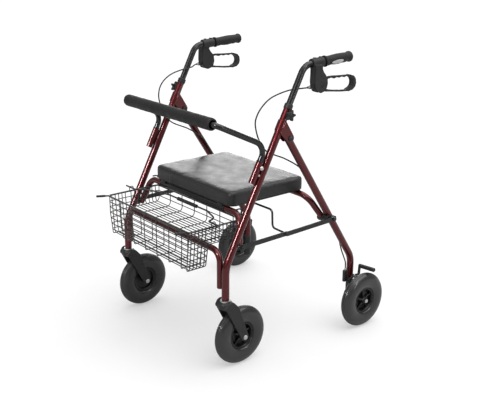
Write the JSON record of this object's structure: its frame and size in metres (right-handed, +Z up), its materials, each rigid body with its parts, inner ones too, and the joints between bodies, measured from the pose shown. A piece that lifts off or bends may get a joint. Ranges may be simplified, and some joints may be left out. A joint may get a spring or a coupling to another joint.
{
  "type": "rollator walker",
  "caption": "Folding walking frame on wheels with loop brakes, a padded flip-up seat, a foam backrest bar and a wire basket under the seat.",
  "frame": {"origin": "on the floor, in the middle of the walker's width and of its whole length", "axes": "+Z up, +X to the walker's own left, -Y towards its front (the casters and the basket)"},
  "size_m": [0.77, 0.8376, 1.0022],
  "materials": {
    "frame_paint": "deep metallic burgundy enamel, glossy",
    "black_tube": "glossy black enamel",
    "black_plastic": "satin moulded black plastic with a fine grain",
    "grip_rubber": "matt dark grey rubber with moulded ribs",
    "tyre": "satin grey-black solid tyre",
    "foam": "dark grey closed-cell foam",
    "vinyl": "black grained vinyl with sewn seams",
    "wire": "black plastic-dipped wire",
    "zinc": "bright zinc-plated steel",
    "dark_steel": "black powder-coated steel",
    "cable": "smooth black cable sheath"
  },
  "bodies": {
    "front_frame": {"front_leg_L": "frame_paint", "front_leg_R": "frame_paint", "leg_collar_L": "black_plastic", "leg_collar_R": "black_plastic", "gusset_L": "frame_paint", "gusset_R": "frame_paint", "backrest_socket_L": "frame_paint", "backrest_socket_R": "frame_paint", "brace_front_bracket_L": "dark_steel", "brace_front_bracket_R": "dark_steel", "brake_cable_upper_L": "cable", "brake_cable_upper_R": "cable", "brake_cable_lower_L": "cable", "brake_cable_lower_R": "cable", "seat_front_tube": "frame_paint", "lower_cross_tube": "frame_paint"},
    "rear_frame": {"rear_leg_L": "frame_paint", "rear_leg_R": "frame_paint", "rear_axle_L": "zinc", "rear_axle_R": "zinc", "brace_rear_clamp_L": "dark_steel", "brace_rear_clamp_R": "dark_steel", "brake_bracket_L": "dark_steel", "brake_bracket_R": "dark_steel", "rear_cross_tube": "frame_paint"},
    "brace_front": {"brace_bar_front_L": "dark_steel", "brace_bar_front_R": "dark_steel", "brace_lift_rod": "wire"},
    "brace_rear": {"brace_bar_rear_L": "dark_steel", "brace_bar_rear_R": "dark_steel"},
    "seat_hinge": {"seat_hinge_sleeve": "black_plastic"},
    "seat": {"seat_cushion": "vinyl", "seat_board": "black_plastic"},
    "backrest": {"backrest_tube": "black_tube", "backrest_foam": "foam"},
    "basket": {"basket_shell": "wire"},
    "basket_handle": {"basket_bail": "wire"},
    "handle_L": {"handle_tube_L": "black_tube", "hand_grip_L": "grip_rubber", "brake_housing_L": "black_plastic"},
    "lever_L": {"brake_lever_L": "black_plastic"},
    "rocker_L": {"brake_rocker_L": "dark_steel"},
    "knob_L": {"star_knob_L": "black_plastic"},
    "caster_L": {"caster_fork_L": "black_plastic"},
    "front_wheel_L": {"front_tyre_L": "tyre", "front_hub_L": "black_plastic"},
    "rear_wheel_L": {"rear_tyre_L": "tyre", "rear_hub_L": "black_plastic"},
    "handle_R": {"handle_tube_R": "black_tube", "hand_grip_R": "grip_rubber", "brake_housing_R": "black_plastic"},
    "lever_R": {"brake_lever_R": "black_plastic"},
    "rocker_R": {"brake_rocker_R": "dark_steel"},
    "knob_R": {"star_knob_R": "black_plastic"},
    "caster_R": {"caster_fork_R": "black_plastic"},
    "front_wheel_R": {"front_tyre_R": "tyre", "front_hub_R": "black_plastic"},
    "rear_wheel_R": {"rear_tyre_R": "tyre", "rear_hub_R": "black_plastic"}
  },
  "joints": [
    {"name": "frame_fold", "type": "hinge", "parent": "front_frame", "child": "rear_frame", "pos_m": [0, -0.0092, 0.744], "axis": [1, 0, 0], "range_deg": [-34, 0], "deforming": ["brake_cable_lower_L", "brake_cable_lower_R"]},
    {"name": "front_brace_turn", "type": "hinge", "parent": "front_frame", "child": "brace_front", "pos_m": [0, -0.2102, 0.418], "axis": [1, 0, 0], "range_deg": [0, 52]},
    {"name": "rear_brace_turn", "type": "hinge", "parent": "rear_frame", "child": "brace_rear", "pos_m": [0, 0.1978, 0.426], "axis": [1, 0, 0], "range_deg": [-36, 0]},
    {"name": "seat_lift", "type": "hinge", "parent": "front_frame", "child": "seat_hinge", "pos_m": [0, -0.1762, 0.5073], "axis": [1, 0, 0], "range_deg": [0, 92]},
    {"name": "seat_flip", "type": "hinge", "parent": "seat_hinge", "child": "seat", "pos_m": [0, -0.1762, 0.5073], "axis": [1, 0, 0], "range_deg": [0, 92]},
    {"name": "backrest_lift", "type": "slide", "parent": "front_frame", "child": "backrest", "axis": [0, 0.4624, 0.8867], "range_m": [0, 0.06]},
    {"name": "basket_tip", "type": "hinge", "parent": "front_frame", "child": "basket", "pos_m": [0, -0.1762, 0.5073], "axis": [-1, 0, 0], "range_deg": [0, 12]},
    {"name": "basket_handle_swing", "type": "hinge", "parent": "basket", "child": "basket_handle", "pos_m": [0, -0.2732, 0.493], "axis": [1, 0, 0], "range_deg": [0, 150]},
    {"name": "handle_height_L", "type": "slide", "parent": "front_frame", "child": "handle_L", "axis": [0, 0.4624, 0.8867], "range_m": [-0.1, 0.025], "deforming": ["brake_cable_upper_L"]},
    {"name": "brake_squeeze_L", "type": "hinge", "parent": "handle_L", "child": "lever_L", "pos_m": [0.303, 0.1198, 0.904], "axis": [1, 0, 0], "range_deg": [0, 14], "stiffness_Nm_per_rad": 2, "springref_deg": -5.73},
    {"name": "brake_bar_L", "type": "hinge", "parent": "rear_frame", "child": "rocker_L", "pos_m": [0.311, 0.3218, 0.176], "axis": [1, 0, 0], "range_deg": [-9, 0]},
    {"name": "star_knob_turn_L", "type": "hinge", "parent": "front_frame", "child": "knob_L", "pos_m": [0.295, -0.02052, 0.82304], "axis": [1, 0, 0], "range_deg": [0, 360]},
    {"name": "caster_swivel_L", "type": "hinge", "parent": "front_frame", "child": "caster_L", "pos_m": [0.295, -0.2642, 0.243], "axis": [0, 0, 1], "continuous": true},
    {"name": "front_wheel_spin_L", "type": "hinge", "parent": "caster_L", "child": "front_wheel_L", "pos_m": [0.295, -0.2042, 0.101], "axis": [1, 0, 0], "continuous": true},
    {"name": "rear_wheel_spin_L", "type": "hinge", "parent": "rear_frame", "child": "rear_wheel_L", "pos_m": [0.361, 0.3178, 0.101], "axis": [1, 0, 0], "continuous": true},
    {"name": "handle_height_R", "type": "slide", "parent": "front_frame", "child": "handle_R", "axis": [0, 0.4624, 0.8867], "range_m": [-0.1, 0.025], "deforming": ["brake_cable_upper_R"]},
    {"name": "brake_squeeze_R", "type": "hinge", "parent": "handle_R", "child": "lever_R", "pos_m": [-0.303, 0.1198, 0.904], "axis": [1, 0, 0], "range_deg": [0, 14], "stiffness_Nm_per_rad": 2, "springref_deg": -5.73},
    {"name": "brake_bar_R", "type": "hinge", "parent": "rear_frame", "child": "rocker_R", "pos_m": [-0.311, 0.3218, 0.176], "axis": [1, 0, 0], "range_deg": [-9, 0]},
    {"name": "star_knob_turn_R", "type": "hinge", "parent": "front_frame", "child": "knob_R", "pos_m": [-0.295, -0.02052, 0.82304], "axis": [1, 0, 0], "range_deg": [0, 360]},
    {"name": "caster_swivel_R", "type": "hinge", "parent": "front_frame", "child": "caster_R", "pos_m": [-0.295, -0.2642, 0.243], "axis": [0, 0, 1], "continuous": true},
    {"name": "front_wheel_spin_R", "type": "hinge", "parent": "caster_R", "child": "front_wheel_R", "pos_m": [-0.295, -0.2042, 0.101], "axis": [1, 0, 0], "continuous": true},
    {"name": "rear_wheel_spin_R", "type": "hinge", "parent": "rear_frame", "child": "rear_wheel_R", "pos_m": [-0.361, 0.3178, 0.101], "axis": [1, 0, 0], "continuous": true}
  ],
  "couplings": [
    {"joint": "front_brace_turn", "follows": "frame_fold", "ratio": -1.5235},
    {"joint": "rear_brace_turn", "follows": "frame_fold", "ratio": 1.053},
    {"joint": "seat_lift", "follows": "frame_fold", "ratio": -2.7},
    {"joint": "brake_bar_L", "follows": "brake_squeeze_L", "ratio": -0.6},
    {"joint": "brake_bar_R", "follows": "brake_squeeze_R", "ratio": -0.6}
  ]
}
